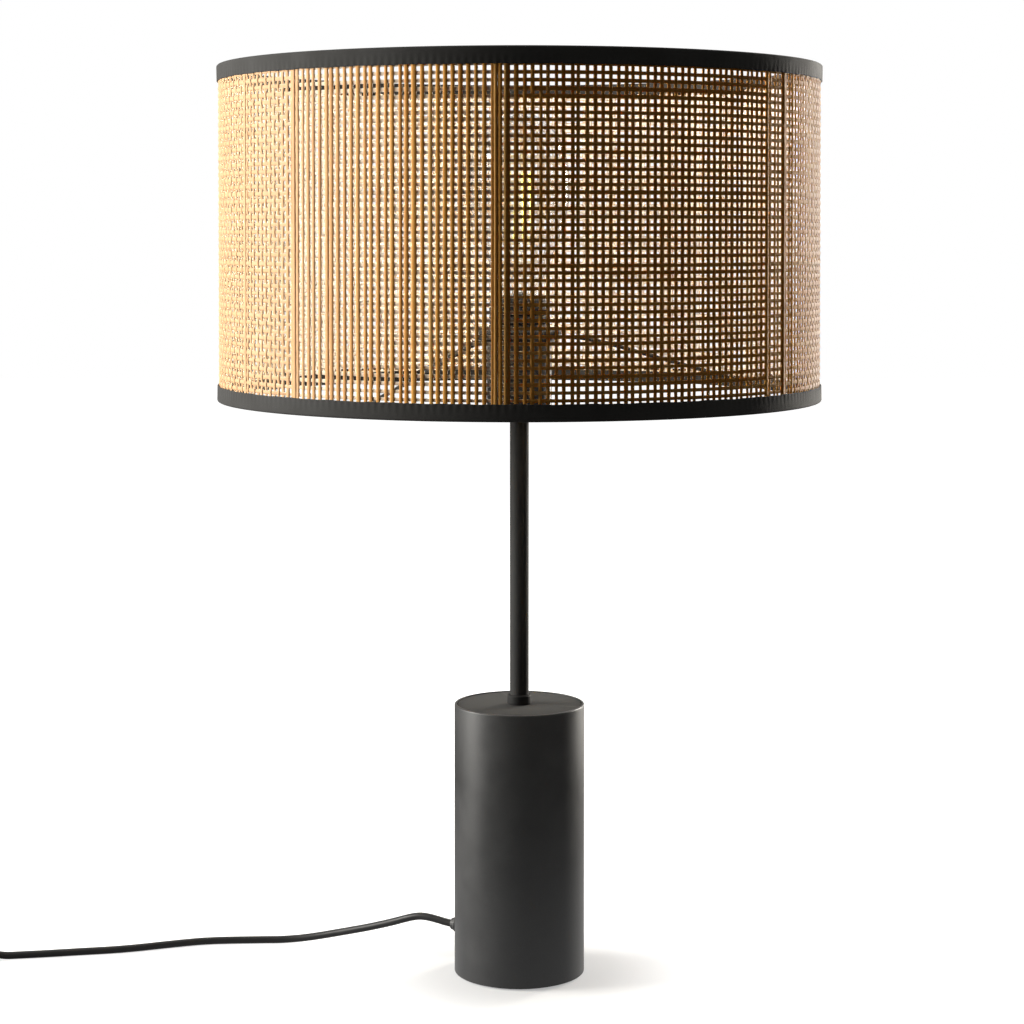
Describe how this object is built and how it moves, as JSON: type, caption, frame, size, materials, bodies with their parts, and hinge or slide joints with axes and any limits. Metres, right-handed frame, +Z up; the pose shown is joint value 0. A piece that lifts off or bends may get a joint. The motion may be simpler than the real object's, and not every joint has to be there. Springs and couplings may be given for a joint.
{
  "type": "table lamp",
  "caption": "Table lamp with a drum shade of open woven cane bound in black tape, on a slim stem and a black weighted cylinder base, with a clear filament bulb and a black mains cord.",
  "frame": {"origin": "centre of the lamp's foot on the surface that it stands on", "axes": "+Z up along the stem, -Y towards the front, +X to the right seen from the front; the cord leaves the base to the left and slightly back"},
  "size_m": [0.6635, 0.38, 0.5741],
  "materials": {
    "black_coat": "matte powder coat",
    "black_lacquer": "satin lacquer",
    "zinc_steel": "zinc plated",
    "cast_weight": "cast concrete",
    "foot_foam": "matte foam",
    "grommet_rubber": "satin",
    "cord_pvc": "satin PVC",
    "core_brown": "gloss",
    "core_blue": "gloss",
    "porcelain": "glazed",
    "brass": "satin",
    "nickel": "nickel plated",
    "holder_plastic": "satin",
    "switch_plastic": "fine spark texture",
    "tie_strap": "woven strap",
    "carrier_wire": "satin lacquer",
    "woven_cane": "varnished rattan strips in an open basket weave",
    "trim_tape": "matte woven binding",
    "black_glass": "gloss",
    "clear_glass": "clear",
    "phosphor": "coated, slightly satin"
  },
  "bodies": {
    "stand": {"foot_pad": "foot_foam", "base_plate": "zinc_steel", "base_tube": "black_coat", "top_disc": "black_coat", "ballast": "cast_weight", "tie_rod": "zinc_steel", "bottom_washer": "zinc_steel", "bottom_nut": "zinc_steel", "stem_collar": "black_coat", "stem_tube": "black_coat", "cord_grommet": "grommet_rubber", "inner_cord": "cord_pvc", "core_wire_1": "core_brown", "core_wire_2": "core_blue", "holder_cup": "black_lacquer", "holder_nut": "zinc_steel", "terminal_block": "porcelain", "terminal_screw_1": "brass", "terminal_screw_2": "brass", "thread_shell": "nickel", "centre_contact": "brass", "holder_skirt": "holder_plastic", "cord_lead": "cord_pvc", "cord_middle": "cord_pvc", "cord_tail": "cord_pvc", "cord_coil": "cord_pvc", "cord_tie": "tie_strap", "switch_base": "switch_plastic", "switch_cover": "switch_plastic", "switch_screw_1": "zinc_steel", "switch_screw_2": "zinc_steel", "switch_contact_1": "brass", "switch_contact_2": "brass", "plug_body": "switch_plastic", "plug_pin_1": "nickel", "plug_pin_2": "nickel"},
    "shade": {"carrier_ring": "carrier_wire", "carrier_arm_1": "carrier_wire", "carrier_arm_2": "carrier_wire", "carrier_arm_3": "carrier_wire", "bottom_wire_ring": "carrier_wire", "top_wire_ring": "carrier_wire", "cane_panel": "woven_cane", "top_trim": "trim_tape", "bottom_trim": "trim_tape"},
    "ring_lift": {"ring_washer": "zinc_steel"},
    "shade_ring": {"shade_ring": "holder_plastic"},
    "bulb_lift": {"bulb_contact": "nickel", "bulb_insulator": "black_glass"},
    "bulb": {"bulb_cap": "nickel", "bulb_glass": "clear_glass", "bulb_stem": "clear_glass", "filament_1": "phosphor", "filament_2": "phosphor", "filament_3": "phosphor", "filament_4": "phosphor", "bulb_lead_1": "nickel", "bulb_lead_2": "nickel"},
    "rocker": {"switch_rocker": "switch_plastic"}
  },
  "joints": [
    {"name": "shade_turn", "type": "hinge", "parent": "stand", "child": "shade", "pos_m": [0, 0, 0.4035], "axis": [0, 0, 1], "continuous": true},
    {"name": "ring_rise", "type": "slide", "parent": "stand", "child": "ring_lift", "axis": [0, 0, 1], "range_m": [0, 0.0239]},
    {"name": "ring_turn", "type": "hinge", "parent": "ring_lift", "child": "shade_ring", "pos_m": [0, 0, 0.406], "axis": [0, 0, 1], "range_deg": [0, 3060]},
    {"name": "bulb_rise", "type": "slide", "parent": "stand", "child": "bulb_lift", "axis": [0, 0, 1], "range_m": [0, 0.0168]},
    {"name": "bulb_turn", "type": "hinge", "parent": "bulb_lift", "child": "bulb", "pos_m": [0, 0, 0.4038], "axis": [0, 0, 1], "range_deg": [0, 1656]},
    {"name": "switch_rock", "type": "hinge", "parent": "stand", "child": "rocker", "pos_m": [-0.384, 0.0143, 0.0152], "axis": [0.165, -0.9863, 0], "range_deg": [0, 14]}
  ],
  "couplings": [
    {"joint": "ring_rise", "follows": "ring_turn", "m_per_rad": 0.00044563},
    {"joint": "bulb_rise", "follows": "bulb_turn", "m_per_rad": 0.00057751}
  ]
}
